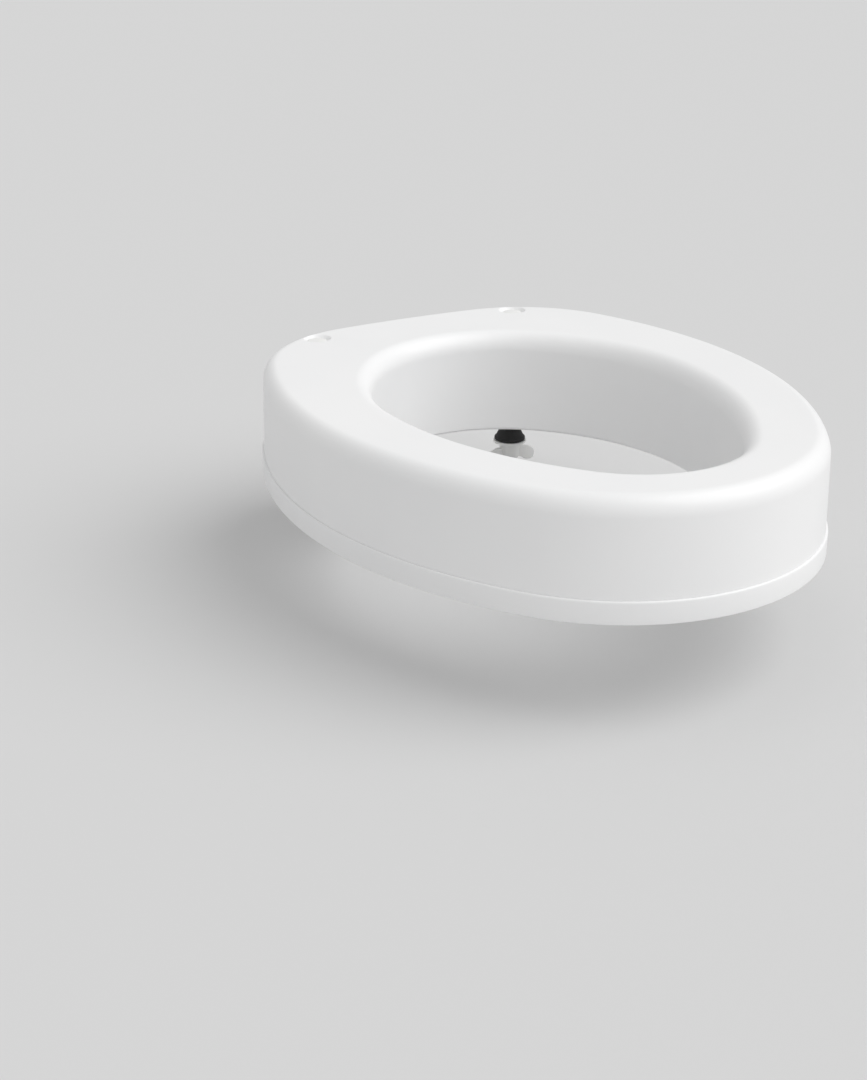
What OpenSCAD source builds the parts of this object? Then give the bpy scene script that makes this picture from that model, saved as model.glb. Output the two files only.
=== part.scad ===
// Bolt-on toilet seat riser: a hollow moulded ring that lies on the bowl under the
// user's own seat.  Millimetres, +Z up.  The front of the seat points to -Y and the
// two mounting bolts stand at the rear.  The origin is midway between the bolts, on
// the plane that the rubber pads rest on.

/* [Overall] */
// Width of the base band at the widest place
seat_w = 368; // [356:2:380]
// Height from the pads' resting plane to the top face
lift_h = 86; // [80:1:110]
// Distance of the straight rear edge behind the widest place
rear_y = 206; // [202:1:210]
// Distance of the bolts in front of the rear edge
bolt_inset = 31; // [29:1:34]
// Centre distance of the two mounting bolts
bolt_spacing = 178; // [168:2:184]

/* [Outer outline] */
// Radius of the front half of each side
side_front_r = 323; // [320:1:330]
// Radius of the nose
nose_r = 150; // [146:1:152]
// Radius of the rear half of each side
side_rear_r = 338; // [334:1:342]
// Radius of the two rear corners
corner_r = 113; // [108:1:116]
// Radius of the rear edge
rear_r = 788; // [760:4:800]

/* [Opening] */
// Width of the opening
opening_w = 234; // [226:2:240]
// How far the opening's widest place lies in front of the seat's
opening_shift = 13; // [6:1:16]
// Radius of the front half of each side of the opening
opening_front_r = 250; // [244:1:256]
// Radius of the opening's nose
opening_nose_r = 76; // [72:1:80]
// Radius of the rear half of each side of the opening
opening_rear_r = 157; // [152:1:162]
// Radius of the opening's tail
opening_tail_r = 98; // [92:1:100]

/* [Shell section] */
// Thickness of the top
top_t = 3.4; // [3:0.2:4]
// Thickness of the opening's wall
inner_t = 3.2; // [3:0.1:3.4]
// Width of the outer edge rounding
edge_across = 11; // [9:0.5:13]
// Depth of the outer edge rounding
edge_down = 14; // [12:0.5:16]
// Width of the opening's edge rounding
lip_across = 12; // [10:0.5:14]
// Depth of the opening's edge rounding
lip_down = 14; // [12:0.5:15]
// How much the outer wall leans in from its foot to the edge rounding
wall_lean = 1.2; // [0.6:0.2:1.6]
// How much the opening widens towards its foot
opening_flare = 4; // [2:0.5:4.5]
// Radius of the round recess over each bolt
dish_r = 11; // [10:0.5:12]
// Depth of the recess
dish_depth = 3.2; // [2.8:0.1:3.6]

/* [Base tray] */
// Height of the band around the foot
band_h = 16; // [14:1:18]
// How far the band stands proud of the shell's wall
band_proud = 1.6; // [1.2:0.1:2]
// Thickness of the tray's floor
floor_t = 3; // [2.6:0.1:3.2]
// How far the pads stand below the tray
pad_proud = 3; // [2.5:0.1:3.5]
// Length of a rubber pad
pad_l = 34; // [30:1:38]
// Width of a rubber pad
pad_w = 13; // [11:1:15]

/* [Mounting bolts] */
// Radius of the bolt's shank
bolt_r = 4; // [3.9:0.1:4]
// Thickness of the bowl's deck that the washers are set for
deck_t = 20; // [16:1:26]
// Length of the bolt under its head
bolt_l = 150; // [140:5:160]

/* [Hidden] */
$fn = 96;
// Facets of the outline all round the seat
STEPS = 72;
// Facets of an edge rounding
EDGE_STEPS = 6;
// Gap between two fitted pieces, and the closer gap round a shank or stem
FIT = 0.1;
SKEW = 0.05;
widest_y = bolt_inset - rear_y;
tray_z = pad_proud;
floor_z = tray_z + floor_t;
band_top = tray_z + band_h;
band_t = 3.4;
tongue_in = band_t + 2.6;
top_in = lift_h - top_t;
wall_top = band_proud + wall_lean;
rim_in = opening_flare + inner_t + 0.8;
rim_t = 2.4;
rim_h = 10;
boss_r = 5;
post_r = 7;
post_z = floor_z + 5;
screw_r = 1.95;
screw_head_r = 4.1;
screw_head_h = 2.3;
screw_l = 22;
column_r = 13;
rib_t = 2.4;
rib_z = floor_z + rim_h + 1;
stem_r = 3;
stem_gap = 18;
neck_w = 8;
neck_h = 4;
head_r = 7.6;
head_h = 1.9;
dish_foot_r = 8;
dish_z = lift_h - dish_depth;
cone_h = 12;
cone_top_r = 7.5;
cone_foot_r = 13;
washer_r = 14;
washer_t = 2;
nut_h = 14;
nut_r = 9;
wing_r = 24;
wing_t = 4;
// How far the cone reaches into the deck's hole
cone_in = 5;
cone_z = cone_in - deck_t - cone_h;
washer_z = cone_z - washer_t;
nut_z = washer_z - nut_h;

SIDES = ["left", "right"];
SCREW_ANGLES = [0, 42, 84, 122, 180, 238, 276, 318];
PAD_ANGLES = [21, 63, 103, 138, 222, 257, 297, 339];
PAD_NAMES = ["pad_right_nose", "pad_right_front", "pad_right_middle", "pad_right_rear",
             "pad_left_rear", "pad_left_middle", "pad_left_front", "pad_left_nose"];
RIB_ANGLES = [10.5, 31.5, 52.5, 73.5, 94, 112, 130, 168];

// ---- outlines --------------------------------------------------------------------
// An outline is a chain of tangent arcs, each [centre, radius, last angle].  The angle
// is that of the outward normal, counted from -Y (the front) towards +X.

function heading(d) = atan2(d[0], -d[1]);
function normal(a) = [sin(a), -cos(a)];

// Centre on the +X side at distance ra from ca and rb from cb.
function meeting(ca, ra, cb, rb) =
    let (d = norm(cb - ca))
    let (u = (cb - ca) / d)
    let (s = (ra * ra - rb * rb + d * d) / (2 * d))
    let (h = sqrt(ra * ra - s * s))
    ca + s * u + h * [u[1], -u[0]];

function nose_arcs(w, side_r, r) =
    let (side = [w - side_r, 0])
    let (nose = [0, -sqrt(pow(side_r - r, 2) - pow(side_r - w, 2))])
    [[nose, r, heading(nose - side)], [side, side_r, 90]];

function outer_arcs() =
    let (w = seat_w / 2)
    let (side = [w - side_rear_r, 0])
    let (rear = [0, rear_y - rear_r])
    let (corner = meeting(rear, rear_r - corner_r, side, side_rear_r - corner_r))
    concat(nose_arcs(w, side_front_r, nose_r),
           [[side, side_rear_r, heading(corner - side)],
            [corner, corner_r, heading(corner - rear)],
            [rear, rear_r, 180]]);

function opening_arcs() =
    let (w = opening_w / 2)
    let (side = [w - opening_rear_r, 0])
    let (tail_y = sqrt(pow(opening_rear_r - opening_tail_r, 2) - pow(opening_rear_r - w, 2)))
    concat(nose_arcs(w, opening_front_r, opening_nose_r),
           [[side, opening_rear_r, heading([0, tail_y] - side)],
            [[0, tail_y], opening_tail_r, 180]]);

OUTER = outer_arcs();
OPENING = opening_arcs();

function arc_at(arcs, a, i = 0) = a <= arcs[i][2] + 0.000001 ? arcs[i] : arc_at(arcs, a, i + 1);
function half_point(arcs, a, out) =
    let (arc = arc_at(arcs, a))
    arc[0] + (arc[1] + out) * normal(a);
function point(arcs, a, out) =
    a <= 180 ? half_point(arcs, a, out)
             : let (p = half_point(arcs, 360 - a, out)) [-p[0], p[1]];
function outer_at(a, out = 0) = point(OUTER, a, out) + [0, widest_y];
function opening_at(a, out = 0) = point(OPENING, a, out) + [0, widest_y - opening_shift];
function middle_at(a) = (outer_at(a, -3) + opening_at(a, 7)) / 2;

// ---- sections ----------------------------------------------------------------------
// A section point is [on the outer outline?, offset outward, height].

function section_point(s, a) =
    let (p = s[0] ? outer_at(a, s[1]) : opening_at(a, s[1]))
    [p[0], p[1], s[2]];

// Sweeps a closed section around the seat.
module ring(section) {
    count = len(section);
    points = [for (i = [0 : STEPS - 1]) for (s = section) section_point(s, 360 * i / STEPS)];
    faces = [for (i = [0 : STEPS - 1]) for (j = [0 : count - 1])
        let (a = i * count + j)
        let (b = i * count + (j + 1) % count)
        let (c = ((i + 1) % STEPS) * count + (j + 1) % count)
        let (d = ((i + 1) % STEPS) * count + j)
        each [[a, b, c], [a, c, d]]];
    polyhedron(points, faces, convexity = 8);
}

EDGE_ANGLES = [for (i = [0 : EDGE_STEPS]) 90 * i / EDGE_STEPS];

function shell_section() = concat(
    [[true, -band_t - FIT, floor_z + FIT],
     [true, -band_t - FIT, band_top + FIT],
     [true, -band_proud, band_top + FIT]],
    [for (a = EDGE_ANGLES)
        [true, -wall_top - edge_across * (1 - cos(a)), lift_h - edge_down * (1 - sin(a))]],
    [for (a = EDGE_ANGLES)
        [false, lip_across * (1 - sin(a)), lift_h - lip_down * (1 - cos(a))]],
    [[false, opening_flare, floor_z - 1],
     [false, opening_flare + inner_t, floor_z - 1],
     [false, inner_t, lift_h - lip_down],
     [false, lip_across - 1, top_in],
     [true, -wall_top - edge_across, top_in],
     [true, -tongue_in, lift_h - edge_down],
     [true, -tongue_in, floor_z + FIT]]);

function tray_section() =
    [[true, -1, tray_z],
     [true, 0, tray_z + 1],
     [true, 0, band_top - 1],
     [true, -0.3, band_top - 0.3],
     [true, -1, band_top],
     [true, -band_t, band_top],
     [true, -band_t, floor_z],
     [false, rim_in + rim_t, floor_z],
     [false, rim_in + rim_t, floor_z + rim_h],
     [false, rim_in, floor_z + rim_h],
     [false, rim_in, tray_z]];

// ---- places --------------------------------------------------------------------------

module at_angle(a) {
    p = middle_at(a);
    d = outer_at(a) - opening_at(a);
    translate([p[0], p[1], 0]) rotate([0, 0, atan2(d[1], d[0])]) children();
}

module at_bolt(side) {
    translate([(side == "left" ? -1 : 1) * bolt_spacing / 2, 0, 0]) children();
}

// ---- top shell -----------------------------------------------------------------------

// Upright web between the opening's wall and the outer wall.
module rib(a) {
    p = opening_at(a);
    q = outer_at(a);
    l = norm(q - p);
    translate([p[0], p[1], 0]) rotate([90, 0, atan2(q[1] - p[1], q[0] - p[0])])
        linear_extrude(rib_t, center = true)
            polygon([[opening_flare + 1.5, rib_z],
                     [l - tongue_in + 0.8, rib_z],
                     [l - tongue_in + 0.8, lift_h - edge_down],
                     [l - wall_top - edge_across, top_in + 1],
                     [lip_across - 1, top_in + 1],
                     [opening_flare + 1.5, lift_h - lip_down - 6]]);
}

module top_shell() {
    color("white") difference() {
        union() {
            ring(shell_section());
            for (a = SCREW_ANGLES) at_angle(a) translate([0, 0, post_z + FIT])
                cylinder(r = boss_r, h = top_in + 1 - post_z - FIT);
            for (side = SIDES) at_bolt(side) translate([0, 0, floor_z + FIT])
                cylinder(r = column_r, h = top_in + 1 - floor_z - FIT);
            for (a = RIB_ANGLES) {
                rib(a);
                mirror([1, 0, 0]) rib(a);
            }
        }
        for (a = SCREW_ANGLES) at_angle(a)
            cylinder(r = screw_r + SKEW, h = post_z + screw_l);
        for (side = SIDES) at_bolt(side) {
            cylinder(r = bolt_r + 0.3, h = lift_h);
            translate([-neck_w / 2 - FIT, -neck_w / 2 - FIT, dish_z - neck_h - 0.2])
                cube([neck_w + 2 * FIT, neck_w + 2 * FIT, neck_h + 1]);
            translate([0, 0, dish_z])
                cylinder(r1 = dish_foot_r, r2 = 2 * dish_r - dish_foot_r, h = 2 * dish_depth);
        }
    }
}

// ---- base tray ------------------------------------------------------------------------

module base_tray() {
    color("whitesmoke") difference() {
        union() {
            ring(tray_section());
            for (a = SCREW_ANGLES) at_angle(a) translate([0, 0, floor_z - 1])
                cylinder(r = post_r, h = post_z - floor_z + 1);
        }
        for (a = SCREW_ANGLES) at_angle(a) {
            cylinder(r = screw_head_r + 0.5, h = floor_z);
            cylinder(r = screw_r + 0.35, h = post_z + 1);
        }
        for (a = PAD_ANGLES) at_angle(a) {
            translate([0, 0, tray_z - 1]) pad_block(pad_w + 2 * FIT, pad_l + 2 * FIT, 2);
            for (s = [-1, 1]) translate([0, s * stem_gap / 2, 0])
                cylinder(r = stem_r + SKEW, h = floor_z + 1);
        }
        for (side = SIDES) at_bolt(side) cylinder(r = bolt_r + 0.5, h = floor_z + 1);
    }
}

// ---- pads ------------------------------------------------------------------------------

module pad_block(w, l, h) {
    for (s = [-1, 1]) translate([0, s * (l - w) / 2, 0]) cylinder(d = w, h = h);
    translate([-w / 2, -(l - w) / 2, 0]) cube([w, l - w, h]);
}

// Rubber pad with two snap stems through the tray's floor.
module pad(a) {
    color("dimgray") at_angle(a) {
        pad_block(pad_w, pad_l, tray_z + 1);
        for (s = [-1, 1]) translate([0, s * stem_gap / 2, 0]) {
            cylinder(r = stem_r, h = floor_z + 1.2);
            translate([0, 0, floor_z + FIT]) cylinder(r1 = stem_r + 1, r2 = stem_r - 0.5, h = 2.4);
        }
    }
}

// ---- tray screws -------------------------------------------------------------------------

module screw(a) {
    color("silver") at_angle(a) difference() {
        union() {
            translate([0, 0, floor_z - screw_head_h]) cylinder(r = screw_head_r, h = screw_head_h);
            translate([0, 0, floor_z - 0.5]) cylinder(r = screw_r, h = screw_l);
            translate([0, 0, floor_z - 0.5 + screw_l]) cylinder(r1 = screw_r, r2 = 0.4, h = 2.5);
        }
        for (t = [0, 90]) rotate([0, 0, t]) translate([-2.4, -0.5, floor_z - screw_head_h - 1])
            cube([4.8, 1, 2.3]);
    }
}

// ---- mounting hardware -----------------------------------------------------------------------

// Carriage bolt: the square neck keeps it from turning while the nut is tightened.
module bolt(side) {
    color("white") at_bolt(side) {
        translate([0, 0, dish_z]) cylinder(r1 = head_r, r2 = head_r - 1.2, h = head_h);
        translate([-neck_w / 2, -neck_w / 2, dish_z - neck_h]) cube([neck_w, neck_w, neck_h + 0.5]);
        translate([0, 0, dish_z - bolt_l + 2]) cylinder(r = bolt_r, h = bolt_l - 2);
        translate([0, 0, dish_z - bolt_l]) cylinder(r1 = bolt_r - 1.2, r2 = bolt_r, h = 2);
    }
}

// Rubber washer whose cone centres the bolt in the deck's larger hole.
module cone_washer(side) {
    color("dimgray") at_bolt(side) translate([0, 0, cone_z]) difference() {
        union() {
            cylinder(r = cone_foot_r, h = 3);
            translate([0, 0, 3]) cylinder(r1 = cone_foot_r - 1, r2 = cone_top_r, h = cone_h - 3);
        }
        translate([0, 0, -1]) cylinder(r = bolt_r + SKEW, h = cone_h + 2);
    }
}

module flat_washer(side) {
    color("white") at_bolt(side) translate([0, 0, washer_z]) difference() {
        cylinder(r = washer_r, h = washer_t - FIT);
        translate([0, 0, -1]) cylinder(r = bolt_r + SKEW, h = washer_t + 2);
    }
}

module wing_nut(side) {
    color("white") at_bolt(side) translate([0, 0, nut_z]) difference() {
        union() {
            cylinder(r1 = nut_r - 1.5, r2 = nut_r, h = nut_h - FIT);
            for (t = [0, 180]) rotate([0, 0, t]) rotate([90, 0, 0])
                linear_extrude(wing_t, center = true)
                    polygon([[0, nut_h - 3], [0, 1], [wing_r - 8, -5], [wing_r - 2, -5],
                             [wing_r, -3], [wing_r, 3], [wing_r - 4, 7]]);
        }
        translate([0, 0, -8]) cylinder(r = bolt_r + SKEW, h = nut_h + 16);
    }
}

top_shell();
base_tray();
for (i = [0 : len(SCREW_ANGLES) - 1])
    screw(SCREW_ANGLES[i]);
for (i = [0 : len(PAD_ANGLES) - 1])
    pad(PAD_ANGLES[i]);
for (side = SIDES) {
    bolt(side);
    cone_washer(side);
    flat_washer(side);
    wing_nut(side);
}
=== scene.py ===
"""Bolt-on toilet seat riser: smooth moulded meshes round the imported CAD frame.

Lengths are in metres; a size written in millimetres is multiplied by MM.  The outline is the
CAD model's: a chain of tangent arcs, sampled finely, so walls and edges look truly round.
"""
import math

import bmesh
import bpy
from mathutils import Matrix, Vector


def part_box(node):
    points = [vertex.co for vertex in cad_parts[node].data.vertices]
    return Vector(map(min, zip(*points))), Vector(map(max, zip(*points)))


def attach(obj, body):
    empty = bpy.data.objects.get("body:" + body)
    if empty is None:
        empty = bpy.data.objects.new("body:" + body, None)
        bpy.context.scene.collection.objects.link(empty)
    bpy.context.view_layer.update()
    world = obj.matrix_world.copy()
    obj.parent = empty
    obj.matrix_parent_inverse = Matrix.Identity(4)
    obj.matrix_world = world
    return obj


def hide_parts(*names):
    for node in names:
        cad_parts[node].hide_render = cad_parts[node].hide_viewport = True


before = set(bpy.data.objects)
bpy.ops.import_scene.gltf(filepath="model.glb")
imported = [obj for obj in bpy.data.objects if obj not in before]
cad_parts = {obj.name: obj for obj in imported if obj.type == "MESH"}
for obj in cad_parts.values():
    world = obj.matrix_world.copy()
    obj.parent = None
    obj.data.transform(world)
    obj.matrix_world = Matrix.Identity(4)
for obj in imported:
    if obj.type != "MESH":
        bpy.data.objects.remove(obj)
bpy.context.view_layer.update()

MM = 0.001

# ---- driving sizes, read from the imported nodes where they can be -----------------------
tray_low, tray_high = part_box("base_tray")
bolt_low, bolt_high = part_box("bolt_right")
BOLT_X = (bolt_low.x + bolt_high.x) / 2
SIDES = {"left": -1, "right": 1}
TOP_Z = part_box("top_shell")[1].z
TRAY_Z = tray_low.z
FLOOR_T = 3 * MM
FLOOR_Z = TRAY_Z + FLOOR_T
BAND_TOP = TRAY_Z + 16 * MM
REAR_Y = tray_high.y
SEAT_HALF = tray_high.x

SIDE_FRONT_R = 323 * MM
NOSE_R = 150 * MM
SIDE_REAR_R = 338 * MM
CORNER_R = 113 * MM
REAR_R = 788 * MM
REAR_DEPTH = 206 * MM
OPENING_HALF = 117 * MM
OPENING_SHIFT = 13 * MM
OPENING_FRONT_R = 250 * MM
OPENING_NOSE_R = 76 * MM
OPENING_REAR_R = 157 * MM
OPENING_TAIL_R = 98 * MM
WIDEST_Y = REAR_Y - REAR_DEPTH

# The tray's flat floor lies between these distances from the two outlines.
FLOOR_FROM_OUTER = 3 * MM
FLOOR_FROM_OPENING = 7 * MM

EDGE_ACROSS = 11 * MM
EDGE_DOWN = 14 * MM
LIP_ACROSS = 12 * MM
LIP_DOWN = 14 * MM
WALL_LEAN = 1.2 * MM
BAND_PROUD = 1.6 * MM
BAND_T = 3.4 * MM
WALL_TOP = BAND_PROUD + WALL_LEAN
FLARE = 4 * MM
SHELL_T = 3.3 * MM
FIT = 0.1 * MM

DISH_R = 11 * MM
DISH_FOOT_R = 8 * MM
DISH_DEPTH = 3.2 * MM
DISH_Z = TOP_Z - DISH_DEPTH

SCREW_ANGLES = [0, 42, 84, 122, 180, 238, 276, 318]
RIB_ANGLES = [10.5, 31.5, 52.5, 73.5, 94, 112, 130, 168]
PAD_ANGLES = {"pad_right_nose": 21, "pad_right_front": 63, "pad_right_middle": 103,
              "pad_right_rear": 138, "pad_left_rear": 222, "pad_left_middle": 257,
              "pad_left_front": 297, "pad_left_nose": 339}


# ---- outline ------------------------------------------------------------------------
def heading(x, y):
    """Angle of a direction, from -Y (the front) towards +X, in radians."""
    return math.atan2(x, -y)


def meeting(ca, ra, cb, rb):
    """The point on the +X side at distance ra from ca and rb from cb."""
    along = cb - ca
    d = along.length
    along = along / d
    s = (ra * ra - rb * rb + d * d) / (2 * d)
    h = math.sqrt(ra * ra - s * s)
    return ca + along * s + Vector((along.y, -along.x)) * h


def nose_arcs(half, side_r, nose_r):
    """The front half of an outline: the nose's arc, then the side's, up to the widest place."""
    side = Vector((half - side_r, 0))
    nose = Vector((0, -math.sqrt((side_r - nose_r) ** 2 - (side_r - half) ** 2)))
    turn = heading(*(nose - side))
    return [(nose, nose_r, 0, turn), (side, side_r, turn, math.pi / 2)]


def outer_arcs():
    """Arcs of the +X half of the outer outline: centre, radius, first and last angle."""
    side = Vector((SEAT_HALF - SIDE_REAR_R, 0))
    rear = Vector((0, REAR_DEPTH - REAR_R))
    corner = meeting(rear, REAR_R - CORNER_R, side, SIDE_REAR_R - CORNER_R)
    a = heading(*(corner - side))
    b = heading(*(corner - rear))
    arcs = nose_arcs(SEAT_HALF, SIDE_FRONT_R, NOSE_R)
    arcs += [(side, SIDE_REAR_R, math.pi / 2, a), (corner, CORNER_R, a, b), (rear, REAR_R, b, math.pi)]
    return [(c + Vector((0, WIDEST_Y)), r, t0, t1) for c, r, t0, t1 in arcs]


def opening_arcs():
    """Arcs of the +X half of the opening, in the same form."""
    side = Vector((OPENING_HALF - OPENING_REAR_R, 0))
    reach = (OPENING_REAR_R - OPENING_TAIL_R) ** 2 - (OPENING_REAR_R - OPENING_HALF) ** 2
    tail = Vector((0, math.sqrt(reach)))
    a = heading(*(tail - side))
    arcs = nose_arcs(OPENING_HALF, OPENING_FRONT_R, OPENING_NOSE_R)
    arcs += [(side, OPENING_REAR_R, math.pi / 2, a), (tail, OPENING_TAIL_R, a, math.pi)]
    return [(c + Vector((0, WIDEST_Y - OPENING_SHIFT)), r, t0, t1) for c, r, t0, t1 in arcs]


OUTER = outer_arcs()
OPENING = opening_arcs()


def outline(arcs, angle, out=0.0):
    """Point of the outline where its normal has this angle, moved outward by out."""
    mirrored = angle > math.pi
    a = 2 * math.pi - angle if mirrored else angle
    centre, radius, _, _ = next(arc for arc in arcs if a <= arc[3] + 1e-9)
    x = centre.x + (radius + out) * math.sin(a)
    y = centre.y - (radius + out) * math.cos(a)
    return Vector((-x if mirrored else x, y))


def sweep_angles(longest=3.5 * MM, widest_turn=math.radians(1.3)):
    """Angles all round the seat, close enough for every arc to look round."""
    half = []
    for _, radius, t0, t1 in OUTER:
        n = math.ceil(max(radius * (t1 - t0) / longest, (t1 - t0) / widest_turn))
        half += [t0 + (t1 - t0) * i / n for i in range(n)]
    return half + [2 * math.pi - a for a in [math.pi] + half[:0:-1]]


ANGLES = sweep_angles()


def middle(angle_deg):
    """Centre line of the ring, and the direction across it, at an outline angle."""
    a = math.radians(angle_deg)
    p = (outline(OUTER, a, -FLOOR_FROM_OUTER) + outline(OPENING, a, FLOOR_FROM_OPENING)) / 2
    across = outline(OUTER, a) - outline(OPENING, a)
    return p, math.atan2(across.y, across.x)


# ---- mesh helpers ----------------------------------------------------------------------
def shade(mesh, sharp_deg=35.0):
    """Smooth shading, broken at the sharp edges."""
    bm = bmesh.new()
    bm.from_mesh(mesh)
    limit = math.radians(sharp_deg)
    for face in bm.faces:
        face.smooth = True
    for edge in bm.edges:
        edge.smooth = len(edge.link_faces) != 2 or edge.calc_face_angle(0.0) < limit
    bm.to_mesh(mesh)
    bm.free()


def make_object(name, bm, body, material):
    """Turns a bmesh into a smooth-shaded piece on a body."""
    bmesh.ops.recalc_face_normals(bm, faces=bm.faces)
    mesh = bpy.data.meshes.new(name)
    bm.to_mesh(mesh)
    bm.free()
    shade(mesh)
    piece = bpy.data.objects.new(name, mesh)
    bpy.context.scene.collection.objects.link(piece)
    piece.data.materials.append(material)
    if body:
        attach(piece, body)
    return piece


def ring_mesh(section):
    """Sweeps a closed section of (outline, offset, height) round the seat."""
    bm = bmesh.new()
    rings = []
    for a in ANGLES:
        ring = []
        for arcs, out, z in section:
            p = outline(arcs, a, out)
            ring.append(bm.verts.new((p.x, p.y, z)))
        rings.append(ring)
    for i, ring in enumerate(rings):
        following = rings[(i + 1) % len(rings)]
        for j in range(len(section)):
            k = (j + 1) % len(section)
            bm.faces.new((ring[j], ring[k], following[k], following[j]))
    return bm


def rounded(points, radii, steps=4):
    """Rounds the corners of a closed section; each corner keeps its outline."""
    result = []
    count = len(points)
    for i, (arcs, out, z) in enumerate(points):
        r = radii[i]
        if r == 0:
            result.append((arcs, out, z))
            continue
        corner = Vector((out, z))
        previous = points[i - 1]
        following = points[(i + 1) % count]
        before = Vector(previous[1:]) if previous[0] is arcs else None
        after = Vector(following[1:]) if following[0] is arcs else None
        sign = -1 if arcs is OUTER else 1
        to_before = (before - corner).normalized() if before else Vector((sign, 0))
        to_after = (after - corner).normalized() if after else Vector((sign, 0))
        for s in range(steps + 1):
            t = s / steps
            p = corner + to_before * r * (1 - t) ** 2 + to_after * r * t ** 2
            result.append((arcs, p.x, p.y))
    return result


def lathe(profile, segments=64):
    """Turns (radius, height) points round Z; a closed profile makes a ring."""
    bm = bmesh.new()
    rings = []
    for r, z in profile:
        if r == 0:
            rings.append([bm.verts.new((0, 0, z))])
            continue
        turns = [2 * math.pi * i / segments for i in range(segments)]
        rings.append([bm.verts.new((r * math.cos(t), r * math.sin(t), z)) for t in turns])
    closed = len(rings[0]) > 1 and len(rings[-1]) > 1
    pairs = list(zip(rings, rings[1:])) + ([(rings[-1], rings[0])] if closed else [])
    for low, high in pairs:
        for i in range(segments):
            j = (i + 1) % segments
            corners = [low[i % len(low)], low[j % len(low)], high[j % len(high)], high[i % len(high)]]
            unique = list(dict.fromkeys(corners))
            if len(unique) > 2:
                bm.faces.new(unique)
    return bm


def moved(bm, matrix):
    bmesh.ops.transform(bm, matrix=matrix, verts=bm.verts)
    return bm


def joined(*parts):
    """Puts several bmeshes into one."""
    whole = bmesh.new()
    for part in parts:
        mesh = bpy.data.meshes.new("part")
        part.to_mesh(mesh)
        part.free()
        whole.from_mesh(mesh)
        bpy.data.meshes.remove(mesh)
    return whole


def at_bolt(side):
    """Place of a mounting bolt's axis."""
    return Matrix.Translation((SIDES[side] * BOLT_X, 0, 0))


def at_angle(angle_deg):
    """Place on the ring's centre line, with X across the ring."""
    p, turn = middle(angle_deg)
    return Matrix.Translation((p.x, p.y, 0)) @ Matrix.Rotation(turn, 4, "Z")


def combine(piece, operation, meshes):
    """Adds or cuts separate closed meshes, which don't touch each other, for good."""
    other = make_object("operand", joined(*meshes), None, piece.data.materials[0])
    modifier = piece.modifiers.new("combine", "BOOLEAN")
    modifier.operation = operation
    modifier.solver = "EXACT"
    modifier.object = other
    graph = bpy.context.evaluated_depsgraph_get()
    result = bpy.data.meshes.new_from_object(piece.evaluated_get(graph))
    piece.modifiers.clear()
    spent = [piece.data, other.data]
    piece.data = result
    bpy.data.objects.remove(other)
    for mesh in spent:
        bpy.data.meshes.remove(mesh)
    shade(piece.data)


# ---- materials ---------------------------------------------------------------------------
CLOUD_SCALE = 9
SCUFF_STRETCH = (60, 420, 60)
SCUFF_TURN = (0.3, 0.2, 0.7)
PEEL_SCALE = 420
PEEL_HEIGHT = 0.06 * MM
GRAIN_SCALE = 2600
GRAIN_HEIGHT = 0.02 * MM
PLASTIC_IOR = 1.5


def node_material(name):
    material = bpy.data.materials.new(name)
    material.use_nodes = True
    nodes = material.node_tree.nodes
    return material, nodes, material.node_tree.links, nodes["Principled BSDF"]


def noise(nodes, links, coords, scale, detail=3.0, rough=0.5):
    texture = nodes.new("ShaderNodeTexNoise")
    texture.inputs["Scale"].default_value = scale
    texture.inputs["Detail"].default_value = detail
    texture.inputs["Roughness"].default_value = rough
    links.new(coords, texture.inputs["Vector"])
    return texture.outputs["Fac"]


def spread(nodes, links, value, low, high, start=0.3, end=0.7):
    """Maps start..end, a texture's middle range, to low..high."""
    mapping = nodes.new("ShaderNodeMapRange")
    mapping.inputs["From Min"].default_value = start
    mapping.inputs["From Max"].default_value = end
    mapping.inputs["To Min"].default_value = low
    mapping.inputs["To Max"].default_value = high
    links.new(value, mapping.inputs["Value"])
    return mapping.outputs["Result"]


def tint(nodes, links, value, dark, light):
    """Mixes two colours by a value that is first spread over 0..1."""
    mix = nodes.new("ShaderNodeMix")
    mix.data_type = "RGBA"
    mix.inputs["A"].default_value = (*dark, 1)
    mix.inputs["B"].default_value = (*light, 1)
    links.new(spread(nodes, links, value, 0, 1), mix.inputs["Factor"])
    return mix.outputs["Result"]


def bump(nodes, links, value, strength, distance, before=None):
    node = nodes.new("ShaderNodeBump")
    node.inputs["Strength"].default_value = strength
    node.inputs["Distance"].default_value = distance
    links.new(value, node.inputs["Height"])
    if before:
        links.new(before, node.inputs["Normal"])
    return node.outputs["Normal"]


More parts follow.
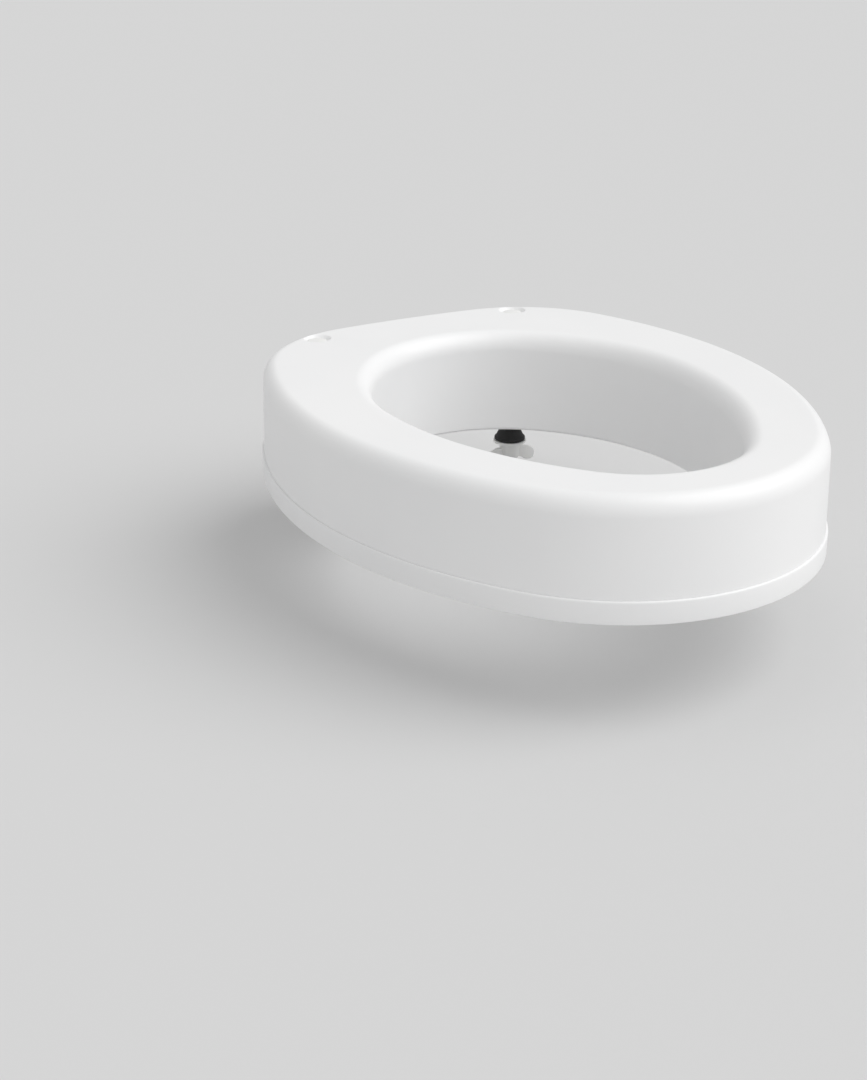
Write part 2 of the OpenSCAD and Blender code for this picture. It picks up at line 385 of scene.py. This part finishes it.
def moulded_plastic(name, dark, light, gloss, grain, coat=0.0, soft=0.0):
    """White moulded plastic: faint clouding, orange-peel skin, fine scuffs in the gloss."""
    material, nodes, links, shader = node_material(name)
    coords = nodes.new("ShaderNodeTexCoord").outputs["Object"]
    cloud = noise(nodes, links, coords, CLOUD_SCALE, detail=2)
    links.new(tint(nodes, links, cloud, dark, light), shader.inputs["Base Color"])
    scuff = nodes.new("ShaderNodeMapping")
    scuff.inputs["Scale"].default_value = SCUFF_STRETCH
    scuff.inputs["Rotation"].default_value = SCUFF_TURN
    links.new(coords, scuff.inputs["Vector"])
    streaks = noise(nodes, links, scuff.outputs["Vector"], 1.0, detail=4, rough=0.6)
    roughness = spread(nodes, links, streaks, gloss - 0.04, gloss + 0.06)
    links.new(roughness, shader.inputs["Roughness"])
    peel = noise(nodes, links, coords, PEEL_SCALE, detail=2)
    fine = noise(nodes, links, coords, GRAIN_SCALE, detail=1)
    skin = bump(nodes, links, peel, grain, PEEL_HEIGHT)
    links.new(bump(nodes, links, fine, grain, GRAIN_HEIGHT, skin), shader.inputs["Normal"])
    shader.inputs["IOR"].default_value = PLASTIC_IOR
    shader.inputs["Coat Weight"].default_value = coat
    shader.inputs["Coat Roughness"].default_value = 0.12
    shader.inputs["Subsurface Weight"].default_value = soft
    shader.inputs["Subsurface Radius"].default_value = (4 * MM, 4 * MM, 3.5 * MM)
    shader.inputs["Subsurface Scale"].default_value = 1.0
    return material


def rubber(name, dark, light):
    """Matt black rubber with a grey bloom and fine pores."""
    material, nodes, links, shader = node_material(name)
    coords = nodes.new("ShaderNodeTexCoord").outputs["Object"]
    bloom = noise(nodes, links, coords, 90, detail=4, rough=0.6)
    links.new(tint(nodes, links, bloom, dark, light), shader.inputs["Base Color"])
    links.new(spread(nodes, links, bloom, 0.62, 0.82), shader.inputs["Roughness"])
    pores = noise(nodes, links, coords, 1500, detail=2)
    links.new(bump(nodes, links, pores, 0.5, 0.08 * MM), shader.inputs["Normal"])
    return material


def zinc(name, dark, light):
    """Plated steel: patchy grey with fine scratches."""
    material, nodes, links, shader = node_material(name)
    coords = nodes.new("ShaderNodeTexCoord").outputs["Object"]
    patches = noise(nodes, links, coords, 500, detail=3)
    links.new(tint(nodes, links, patches, dark, light), shader.inputs["Base Color"])
    links.new(spread(nodes, links, patches, 0.25, 0.42), shader.inputs["Roughness"])
    shader.inputs["Metallic"].default_value = 1.0
    scratches = noise(nodes, links, coords, 2400, detail=2)
    links.new(bump(nodes, links, scratches, 0.25, 0.03 * MM), shader.inputs["Normal"])
    return material


SHELL = moulded_plastic("shell_white", (0.875, 0.877, 0.88), (0.9, 0.9, 0.9),
                        gloss=0.36, grain=0.12, coat=0.06)
TRAY = moulded_plastic("tray_white", (0.865, 0.867, 0.87), (0.89, 0.89, 0.89),
                       gloss=0.4, grain=0.18)
NYLON = moulded_plastic("nylon_natural", (0.82, 0.82, 0.805), (0.86, 0.86, 0.85),
                        gloss=0.42, grain=0.2, soft=0.15)
PAD = rubber("pad_rubber", (0.018, 0.018, 0.019), (0.035, 0.035, 0.037))
WASHER = rubber("washer_rubber", (0.012, 0.012, 0.012), (0.024, 0.024, 0.025))
ZINC = zinc("screw_zinc", (0.52, 0.53, 0.55), (0.7, 0.7, 0.7))


# ---- top shell ---------------------------------------------------------------------------
QUARTER_STEPS = 14
QUARTER = [math.pi / 2 * i / QUARTER_STEPS for i in range(QUARTER_STEPS + 1)]

# Straight run beside a rounding, and how far the wall has already turned at its end.
GUARD = 1.2 * MM
EDGE_EASE = 0.02 * MM
LIP_EASE = 0.05 * MM
FOOT_EASE = 0.1 * MM

SEAM_RISE = 2 * MM
WALL_INSIDE = 6 * MM
FOOT_R = 1.2 * MM
FOOT_BELOW = 1 * MM
FOOT_STRAIGHT = 2.5 * MM
UNDERSIDE = TOP_Z - 0.6 * SHELL_T

DISH_RIM_R = 1.6 * MM
DISH_EASE_R = 1 * MM
BOLT_HOLE_R = 4.3 * MM
NECK_POCKET_R = 5.8 * MM
NECK_POCKET_DEEP = 5 * MM

POST_R = 7 * MM
POST_H = 5 * MM
BOSS_R = 5 * MM
PILOT_R = 1.9 * MM
PILOT_LOW = FLOOR_Z + 3 * MM
PILOT_HIGH = FLOOR_Z + 27 * MM
COLUMN_R = 13 * MM

RIB_HALF_T = 1.2 * MM
RIB_LOW = FLOOR_Z + 11 * MM
RIB_START = FLARE + 1.5 * MM
RIB_END = 5 * MM
RIB_SLOPE = 6 * MM


def shell_section():
    """The moulding's closed section, from the tongue in the tray up and over."""
    tongue = -BAND_T - FIT
    edge_foot = TOP_Z - EDGE_DOWN
    lip_foot = TOP_Z - LIP_DOWN
    foot = FLOOR_Z - FOOT_BELOW
    section = [(OUTER, tongue, FLOOR_Z + FIT),
               (OUTER, tongue, BAND_TOP + FIT),
               (OUTER, -BAND_PROUD, BAND_TOP + FIT),
               (OUTER, -BAND_PROUD, BAND_TOP + SEAM_RISE),
               (OUTER, -WALL_TOP + EDGE_EASE, edge_foot - GUARD)]
    for a in QUARTER:
        out = -WALL_TOP - EDGE_ACROSS * (1 - math.cos(a))
        section.append((OUTER, out, TOP_Z - EDGE_DOWN * (1 - math.sin(a))))
    section.append((OUTER, -WALL_TOP - EDGE_ACROSS - GUARD, TOP_Z))
    section.append((OPENING, LIP_ACROSS + GUARD, TOP_Z))
    for a in QUARTER:
        out = LIP_ACROSS * (1 - math.sin(a))
        section.append((OPENING, out, TOP_Z - LIP_DOWN * (1 - math.cos(a))))
    section.append((OPENING, LIP_EASE, lip_foot - GUARD))
    section.append((OPENING, FLARE - FOOT_EASE, foot + FOOT_STRAIGHT))
    for a in QUARTER[::3]:
        out = FLARE + FOOT_R * (1 - math.cos(a))
        section.append((OPENING, out, foot + FOOT_R * (1 - math.sin(a))))
    section += [(OPENING, FLARE + SHELL_T, foot),
                (OPENING, SHELL_T, lip_foot),
                (OPENING, LIP_ACROSS - 1 * MM, TOP_Z - SHELL_T),
                (OUTER, -WALL_TOP - EDGE_ACROSS, TOP_Z - SHELL_T),
                (OUTER, -WALL_INSIDE, edge_foot),
                (OUTER, -WALL_INSIDE, FLOOR_Z + FIT)]
    return section


def dish_cutter(side):
    """Round recess for the bolt's head, its rim eased into the top, and the bolt's hole."""
    hole_low = FLOOR_Z - 2 * MM
    pocket_low = DISH_Z - NECK_POCKET_DEEP
    profile = [(0, hole_low), (BOLT_HOLE_R, hole_low), (BOLT_HOLE_R, pocket_low),
               (NECK_POCKET_R, pocket_low), (NECK_POCKET_R, DISH_Z)]
    slope = math.atan2(DISH_DEPTH, DISH_R - DISH_FOOT_R)
    bend_r = DISH_FOOT_R - DISH_EASE_R / math.tan((math.pi - slope) / 2)
    for i in range(7):
        a = slope * i / 6
        profile.append((bend_r + DISH_EASE_R * math.sin(a), DISH_Z + DISH_EASE_R * (1 - math.cos(a))))
    rim_z = TOP_Z - DISH_RIM_R * (1 - math.cos(slope))
    rim_r = DISH_FOOT_R + (rim_z - DISH_Z) / math.tan(slope)
    for i in range(9):
        a = slope * (1 - i / 8)
        run = DISH_RIM_R * (math.sin(slope) - math.sin(a))
        rise = DISH_RIM_R * (math.cos(a) - math.cos(slope))
        profile.append((rim_r + run, rim_z + rise))
    clear_r = profile[-1][0] + 0.5 * MM
    clear_z = TOP_Z + 4 * MM
    profile += [(clear_r, TOP_Z + 0.01 * MM), (clear_r, clear_z), (0, clear_z)]
    return moved(lathe(profile, 96), at_bolt(side))


def column(radius, low, high, segments=48):
    return lathe([(0, low), (radius, low), (radius, high), (0, high)], segments)


def prism(shape, low, high, axis="Z"):
    """A flat shape drawn out along Z, or along Y when its second coordinate is a height."""
    bm = bmesh.new()
    if axis == "Z":
        ends = [[bm.verts.new((u, v, w)) for u, v in shape] for w in (low, high)]
    else:
        ends = [[bm.verts.new((u, w, v)) for u, v in shape] for w in (low, high)]
    bm.faces.new(ends[0])
    bm.faces.new(ends[1][::-1])
    for i in range(len(shape)):
        j = (i + 1) % len(shape)
        bm.faces.new((ends[0][j], ends[0][i], ends[1][i], ends[1][j]))
    return bm


def rib(angle_deg, mirror):
    """Upright web between the opening's wall and the outer wall."""
    a = math.radians(angle_deg)
    p = outline(OPENING, a)
    q = outline(OUTER, a)
    reach = (q - p).length
    shape = [(RIB_START, RIB_LOW),
             (reach - RIB_END, RIB_LOW),
             (reach - RIB_END, TOP_Z - EDGE_DOWN),
             (reach - WALL_TOP - EDGE_ACROSS, UNDERSIDE),
             (LIP_ACROSS, UNDERSIDE),
             (RIB_START, TOP_Z - LIP_DOWN - RIB_SLOPE)]
    turn = Matrix.Rotation(math.atan2(q.y - p.y, q.x - p.x), 4, "Z")
    web = moved(prism(shape, -RIB_HALF_T, RIB_HALF_T, "Y"), Matrix.Translation((p.x, p.y, 0)) @ turn)
    if mirror:
        moved(web, Matrix.Diagonal((-1, 1, 1, 1)))
    return web


def build_shell():
    shell = make_object("top_shell_moulding", ring_mesh(shell_section()), "riser", SHELL)
    inside = [moved(column(BOSS_R, FLOOR_Z + POST_H + FIT, UNDERSIDE), at_angle(a)) for a in SCREW_ANGLES]
    inside += [moved(column(COLUMN_R, FLOOR_Z + FIT, UNDERSIDE), at_bolt(side)) for side in SIDES]
    inside += [rib(a, mirror) for a in RIB_ANGLES for mirror in (False, True)]
    combine(shell, "UNION", inside)
    holes = [moved(column(PILOT_R, PILOT_LOW, PILOT_HIGH, 24), at_angle(a)) for a in SCREW_ANGLES]
    combine(shell, "DIFFERENCE", holes + [dish_cutter(side) for side in SIDES])
    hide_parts("top_shell")


# ---- base tray ----------------------------------------------------------------------------
RIM_IN = FLARE + 4 * MM
RIM_T = 2.4 * MM
RIM_H = 10 * MM
TRAY_HOLE_R = 4.5 * MM
SCREW_HOLE_R = 2.3 * MM
HEAD_POCKET_R = 4.6 * MM
POCKET_CHAMFER = 0.5 * MM
CHAMFER_R = 5.3 * MM
BELOW = -1 * MM

PAD_W = 13 * MM
PAD_L = 34 * MM
PAD_SUNK = 1 * MM
PAD_ROUND = 1 * MM
GRIP_R = 0.9 * MM
GRIP_L = 8.4 * MM
GRIP_STEP = 2.7 * MM
GRIPS_EACH_WAY = 5


def tray_section():
    """The tray's closed section and the rounding of each corner in turn."""
    corners = [(OUTER, 0, TRAY_Z, 1.0),
               (OUTER, 0, BAND_TOP, 1.5),
               (OUTER, -BAND_T, BAND_TOP, 0.05),
               (OUTER, -BAND_T, FLOOR_Z, 0.5),
               (OPENING, RIM_IN + RIM_T, FLOOR_Z, 0.5),
               (OPENING, RIM_IN + RIM_T, FLOOR_Z + RIM_H, 0.4),
               (OPENING, RIM_IN, FLOOR_Z + RIM_H, 0.4),
               (OPENING, RIM_IN, TRAY_Z, 0.6)]
    return rounded([corner[:3] for corner in corners], [corner[3] * MM for corner in corners])


def stadium(width, length, low, high, bevel, segments=16):
    """Block with round ends along Y, its lower edge rounded."""
    bm = bmesh.new()
    levels = []
    for a in QUARTER[::-2]:
        levels.append((bevel * (1 - math.cos(a)), low + bevel * (1 - math.sin(a))))
    levels = levels + [(0.0, high)]
    outlines = []
    for shrink, z in levels:
        loop = []
        r = width / 2 - shrink
        for end in (1, -1):
            for i in range(segments + 1):
                a = math.pi * i / segments + (0 if end > 0 else math.pi)
                y = end * (length - width) / 2 + r * math.sin(a)
                loop.append(bm.verts.new((r * math.cos(a), y, z)))
        outlines.append(loop)
    for low_loop, high_loop in zip(outlines, outlines[1:]):
        for i in range(len(low_loop)):
            j = (i + 1) % len(low_loop)
            bm.faces.new((low_loop[i], low_loop[j], high_loop[j], high_loop[i]))
    bm.faces.new(outlines[0][::-1])
    bm.faces.new(outlines[-1])
    return bm


def build_tray():
    tray = make_object("base_tray_moulding", ring_mesh(tray_section()), "riser", TRAY)
    posts = [moved(column(POST_R, FLOOR_Z - 1 * MM, FLOOR_Z + POST_H), at_angle(a)) for a in SCREW_ANGLES]
    combine(tray, "UNION", posts)
    hole_top = FLOOR_Z + POST_H + 1 * MM
    profile = [(0, BELOW), (CHAMFER_R, BELOW), (CHAMFER_R, TRAY_Z),
               (HEAD_POCKET_R, TRAY_Z + POCKET_CHAMFER), (HEAD_POCKET_R, FLOOR_Z),
               (SCREW_HOLE_R, FLOOR_Z), (SCREW_HOLE_R, hole_top), (0, hole_top)]
    cutters = [moved(lathe(profile, 48), at_angle(a)) for a in SCREW_ANGLES]
    for angle in PAD_ANGLES.values():
        seat = stadium(PAD_W + 2 * FIT, PAD_L + 2 * FIT, TRAY_Z - 2 * MM, TRAY_Z + PAD_SUNK, 0.01 * MM)
        cutters.append(moved(seat, at_angle(angle)))
    cutters += [moved(column(TRAY_HOLE_R, BELOW, FLOOR_Z + 1 * MM), at_bolt(side)) for side in SIDES]
    combine(tray, "DIFFERENCE", cutters)
    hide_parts("base_tray")


# ---- pads, screws and bolts ------------------------------------------------------------------
def build_pads():
    """Rubber pads: a rounded block with anti-slip bars across its lower face."""
    along_x = Matrix.Rotation(math.pi / 2, 4, "Y")
    for node, angle in PAD_ANGLES.items():
        block = stadium(PAD_W, PAD_L, GRIP_R * 0.6, TRAY_Z + PAD_SUNK, PAD_ROUND)
        bars = []
        for i in range(-GRIPS_EACH_WAY, GRIPS_EACH_WAY + 1):
            bar = bmesh.new()
            bmesh.ops.create_cone(bar, cap_ends=True, segments=24,
                                  radius1=GRIP_R, radius2=GRIP_R, depth=GRIP_L)
            shift = Matrix.Translation((0, i * GRIP_STEP, GRIP_R))
            bars.append(moved(bar, at_angle(angle) @ shift @ along_x))
        pad = make_object(node + "_rubber", moved(block, at_angle(angle)), "riser", PAD)
        combine(pad, "UNION", bars)
        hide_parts(node)


HEAD_R = 4.1 * MM
HEAD_H = 2.3 * MM
HEAD_DOME = 0.9 * MM
HEAD_EDGE = 0.3 * MM
SHANK_R = 1.4 * MM
SHANK_L = 21 * MM
SCREW_L = 24 * MM
SCREW_THREAD_R = 1.95 * MM
SCREW_THREAD_DEEP = 0.55 * MM
SCREW_PITCH = 1.4 * MM
RECESS_HALF_T = 0.45 * MM
RECESS_HALF_L = 2.1 * MM
RECESS_DEEP = 1.3 * MM
SCREW_TURN = 0.4

# A thread ridge's half width at its crest and at its root, in pitches.
CREST = 0.08
ROOT = 0.46
ROOT_SUNK = 0.05 * MM


def screw_mesh():
    """Pan head facing down and a pointed shank above it."""
    low = FLOOR_Z - HEAD_H
    dome = [(HEAD_R * math.sin(a), low + HEAD_DOME * (1 - math.cos(a))) for a in QUARTER[::2]]
    edge = [(HEAD_R, FLOOR_Z - HEAD_EDGE), (HEAD_R - HEAD_EDGE, FLOOR_Z)]
    shank = [(SHANK_R, FLOOR_Z), (SHANK_R, FLOOR_Z + SHANK_L), (0, FLOOR_Z + SCREW_L)]
    return lathe(dome + edge + shank, 48)


def cross_recess():
    """A cross-shaped prism for the driver."""
    a = RECESS_HALF_T
    b = RECESS_HALF_L
    shape = [(a, a), (a, b), (-a, b), (-a, a), (-b, a), (-b, -a),
             (-a, -a), (-a, -b), (a, -b), (a, -a), (b, -a), (b, a)]
    return prism(shape, -1.5 * MM, RECESS_DEEP)


def thread(radius, depth, pitch, low, high, steps=24):
    """A helical ridge with both ends run out to nothing."""
    bm = bmesh.new()
    count = int((high - low) / pitch * steps)
    root = radius - depth
    rows = []
    for i in range(count + 1):
        a = 2 * math.pi * i / steps
        z = low + (high - low) * i / count
        crest = root + depth * min(1.0, i / steps, (count - i) / steps)
        row = [(root - ROOT_SUNK, -ROOT), (crest, -CREST), (crest, CREST), (root - ROOT_SUNK, ROOT)]
        rows.append([bm.verts.new((r * math.cos(a), r * math.sin(a), z + s * pitch)) for r, s in row])
    for a, b in zip(rows, rows[1:]):
        for k in range(3):
            bm.faces.new((a[k], a[k + 1], b[k + 1], b[k]))
        bm.faces.new((a[3], a[0], b[0], b[3]))
    bm.faces.new(rows[0][::-1])
    bm.faces.new(rows[-1])
    return bm


def build_screws():
    """One screw is made at the origin, and each of the eight is a copy turned its own way."""
    master = make_object("screw", screw_mesh(), None, ZINC)
    recess = moved(cross_recess(), Matrix.Translation((0, 0, FLOOR_Z - HEAD_H)))
    combine(master, "DIFFERENCE", [recess])
    ridge = thread(SCREW_THREAD_R, SCREW_THREAD_DEEP, SCREW_PITCH, FLOOR_Z + 1 * MM, FLOOR_Z + 20 * MM, 16)
    combine(master, "UNION", [ridge])
    for i, angle in enumerate(SCREW_ANGLES):
        mesh = master.data.copy()
        mesh.transform(at_angle(angle) @ Matrix.Rotation(SCREW_TURN * i, 4, "Z"))
        screw = bpy.data.objects.new(f"screw_{i + 1}_steel", mesh)
        bpy.context.scene.collection.objects.link(screw)
        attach(screw, "riser")
        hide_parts(f"screw_{i + 1}")
    bpy.data.objects.remove(master)


BOLT_HEAD_R = 7.6 * MM
BOLT_DOME = 0.9 * MM
BOLT_EDGE = 0.3 * MM
BOLT_SHANK_R = 3.95 * MM
BOLT_CORE_R = 3.35 * MM
BOLT_THREAD_R = 3.98 * MM
BOLT_PITCH = 1.25 * MM
THREAD_TOP = -4 * MM
TIP_BEVEL = 1.2 * MM
TIP_R = BOLT_CORE_R - 0.8 * MM
NECK_W = 7.9 * MM
NECK_H = 4 * MM


def build_bolt(side):
    """Carriage bolt: domed head in its dish, square neck, thread to the tip."""
    tip = bolt_low.z
    dome_z = bolt_high.z - BOLT_DOME
    head = [(0, bolt_high.z)]
    head += [(BOLT_HEAD_R * math.sin(a), dome_z + BOLT_DOME * math.cos(a)) for a in QUARTER[2::2]]
    profile = head + [(BOLT_HEAD_R, DISH_Z + BOLT_EDGE), (BOLT_HEAD_R - BOLT_EDGE, DISH_Z),
                      (BOLT_SHANK_R, DISH_Z), (BOLT_SHANK_R, THREAD_TOP),
                      (BOLT_CORE_R, THREAD_TOP - 1 * MM), (BOLT_CORE_R, tip + TIP_BEVEL),
                      (TIP_R, tip), (0, tip)]
    place = at_bolt(side)
    bolt = make_object(f"bolt_{side}_nylon", moved(lathe(profile, 64), place), "riser", NYLON)
    ridge = thread(BOLT_THREAD_R, BOLT_THREAD_R - BOLT_CORE_R, BOLT_PITCH, tip + TIP_BEVEL, THREAD_TOP)
    neck = bmesh.new()
    bmesh.ops.create_cube(neck, size=1.0)
    lift = Matrix.Translation((0, 0, DISH_Z - NECK_H / 2))
    neck_place = place @ lift @ Matrix.Diagonal((NECK_W, NECK_W, NECK_H, 1))
    combine(bolt, "UNION", [moved(ridge, place), moved(neck, neck_place)])
    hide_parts(f"bolt_{side}")


BORE_R = 4.05 * MM
CONE_R = 13 * MM
CONE_BASE_H = 3 * MM
FLAT_R = 14 * MM
FLAT_EDGE = 0.35 * MM


def build_cone_washer(side):
    """Rubber washer: a flat base under a cone, which centres the bolt in the deck's hole."""
    low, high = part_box(f"cone_washer_{side}")
    edge = 0.3 * MM
    r = CONE_R
    base_top = low.z + CONE_BASE_H
    profile = [(BORE_R, low.z + edge), (BORE_R + edge, low.z),
               (r - 0.8 * MM, low.z), (r - 0.2 * MM, low.z + 0.3 * MM), (r, low.z + 0.9 * MM),
               (r, base_top - 0.7 * MM), (r - 0.3 * MM, base_top - 0.2 * MM), (r - 1 * MM, base_top),
               (8.0 * MM, high.z - 0.9 * MM), (7.4 * MM, high.z - 0.2 * MM), (6.8 * MM, high.z),
               (BORE_R + edge, high.z), (BORE_R, high.z - edge)]
    name = f"cone_washer_{side}_rubber"
    washer = make_object(name, moved(lathe(profile, 72), at_bolt(side)), f"washers_{side}", WASHER)
    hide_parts(f"cone_washer_{side}")


def build_flat_washer(side):
    low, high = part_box(f"flat_washer_{side}")
    c = FLAT_EDGE
    profile = [(BORE_R, low.z + c), (BORE_R + c, low.z), (FLAT_R - c, low.z), (FLAT_R, low.z + c),
               (FLAT_R, high.z - c), (FLAT_R - c, high.z), (BORE_R + c, high.z), (BORE_R, high.z - c)]
    name = f"flat_washer_{side}_nylon"
    washer = make_object(name, moved(lathe(profile, 72), at_bolt(side)), f"washers_{side}", NYLON)
    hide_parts(f"flat_washer_{side}")


WING_HALF_T = 1.9 * MM
WING_EDGE = 0.8 * MM
WING_OUTLINE_MM = [(5.5, -4), (12, -5.0), (19.8, -7.4), (22.6, -9.2), (23.8, -11.5),
                   (23.8, -16.0), (22.4, -18.4), (20.4, -18.9), (16, -18.7), (5.5, -12.6)]
HUB_H = 13.9 * MM
HUB_FOOT_R = 7.4 * MM
HUB_LOW_R = 7.9 * MM
HUB_HIGH_R = 8.9 * MM
HUB_TOP_R = 8.5 * MM
HUB_EDGE = 0.6 * MM


def wing_mesh():
    """One wing, drooping outward from the hub, with rounded edges."""
    bm = prism([(x * MM, z * MM) for x, z in WING_OUTLINE_MM], -WING_HALF_T, WING_HALF_T, "Y")
    rims = [e for e in bm.edges if abs(e.verts[0].co.y - e.verts[1].co.y) < WING_HALF_T]
    bmesh.ops.bevel(bm, geom=rims, offset=WING_EDGE, segments=3, profile=0.5, affect="EDGES")
    return bm


def build_wing_nut(side):
    """Tapered hub with two drooping wings."""
    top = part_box(f"wing_nut_{side}")[1].z
    foot = top - HUB_H
    place = at_bolt(side)
    profile = [(BORE_R, foot), (HUB_FOOT_R, foot), (HUB_LOW_R, foot + 0.9 * MM),
               (HUB_HIGH_R, top - HUB_EDGE), (HUB_TOP_R, top), (BORE_R, top)]
    hub = moved(lathe(profile, 64), place)
    nut = make_object(f"wing_nut_{side}_nylon", hub, f"nut_{side}", NYLON)
    wings = []
    for turn in (0, math.pi):
        wing_place = place @ Matrix.Translation((0, 0, top)) @ Matrix.Rotation(turn, 4, "Z")
        wings.append(moved(wing_mesh(), wing_place))
    combine(nut, "UNION", wings)
    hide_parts(f"wing_nut_{side}")


build_shell()
build_tray()
build_pads()
build_screws()
for side in SIDES:
    build_bolt(side)
    build_cone_washer(side)
    build_flat_washer(side)
    build_wing_nut(side)


# ---- stage, light and camera --------------------------------------------------------------
FLOOR_WHITE = 0.66
FLOOR_HALF = 15
FLOOR_GAP = 1 * MM
HORIZON = 0.65
OVERHEAD = 0.63
KEY_AZIMUTH = 46
KEY_ELEVATION = 48
KEY_STRENGTH = 0.515
KEY_SOFTNESS = 60
CAMERA_AZIMUTH = -28.6
CAMERA_ELEVATION = 22.53
CAMERA_LENS = 58
CAMERA_SENSOR = 36
CAMERA_PLACE = (-0.6412, WIDEST_Y - 1.0284, 0.4625)


def direction(azimuth_deg, elevation_deg):
    """Unit vector towards a light or camera, by its angle round from the front and its rise."""
    azimuth = math.radians(azimuth_deg)
    elevation = math.radians(elevation_deg)
    level = math.cos(elevation)
    return Vector((math.sin(azimuth) * level, -math.cos(azimuth) * level, math.sin(elevation)))


def looking_from(towards):
    """Rotation of a light or camera that looks back along a direction."""
    return (-towards).to_track_quat("-Z", "Y").to_euler()


def build_floor():
    """White floor just below the bolts' tips."""
    bm = bmesh.new()
    bmesh.ops.create_grid(bm, x_segments=1, y_segments=1, size=FLOOR_HALF)
    bmesh.ops.translate(bm, verts=bm.verts, vec=(0, 0, bolt_low.z - FLOOR_GAP))
    material, _, _, shader = node_material("floor_white")
    shader.inputs["Base Color"].default_value = (FLOOR_WHITE, FLOOR_WHITE, FLOOR_WHITE, 1)
    shader.inputs["Roughness"].default_value = 0.9
    shader.inputs["Specular IOR Level"].default_value = 0.0
    make_object("floor", bm, None, material)


def build_world():
    """Nearly even white surroundings, about as bright as the floor and a little dimmer overhead."""
    world = bpy.data.worlds.new("studio")
    bpy.context.scene.world = world
    world.use_nodes = True
    nodes = world.node_tree.nodes
    links = world.node_tree.links
    background = nodes["Background"]
    background.inputs["Color"].default_value = (1, 1, 1, 1)
    height = nodes.new("ShaderNodeSeparateXYZ")
    links.new(nodes.new("ShaderNodeTexCoord").outputs["Generated"], height.inputs["Vector"])
    strength = spread(nodes, links, height.outputs["Z"], HORIZON, OVERHEAD, 0.0, 0.5)
    links.new(strength, background.inputs["Strength"])


def build_key():
    """One large soft light, high and to the right."""
    light = bpy.data.lights.new("key", "SUN")
    light.energy = math.pi * KEY_STRENGTH
    light.angle = math.radians(KEY_SOFTNESS)
    lamp = bpy.data.objects.new("key", light)
    bpy.context.scene.collection.objects.link(lamp)
    lamp.rotation_euler = looking_from(direction(KEY_AZIMUTH, KEY_ELEVATION))


def build_camera():
    """The photograph's viewpoint: in front, to the left and a little above."""
    data = bpy.data.cameras.new("camera")
    data.sensor_width = CAMERA_SENSOR
    data.lens = CAMERA_LENS
    camera = bpy.data.objects.new("camera", data)
    bpy.context.scene.collection.objects.link(camera)
    camera.location = CAMERA_PLACE
    camera.rotation_euler = looking_from(direction(CAMERA_AZIMUTH, CAMERA_ELEVATION))
    bpy.context.scene.camera = camera


build_floor()
build_world()
build_key()
build_camera()
bpy.context.scene.view_settings.view_transform = "Standard"
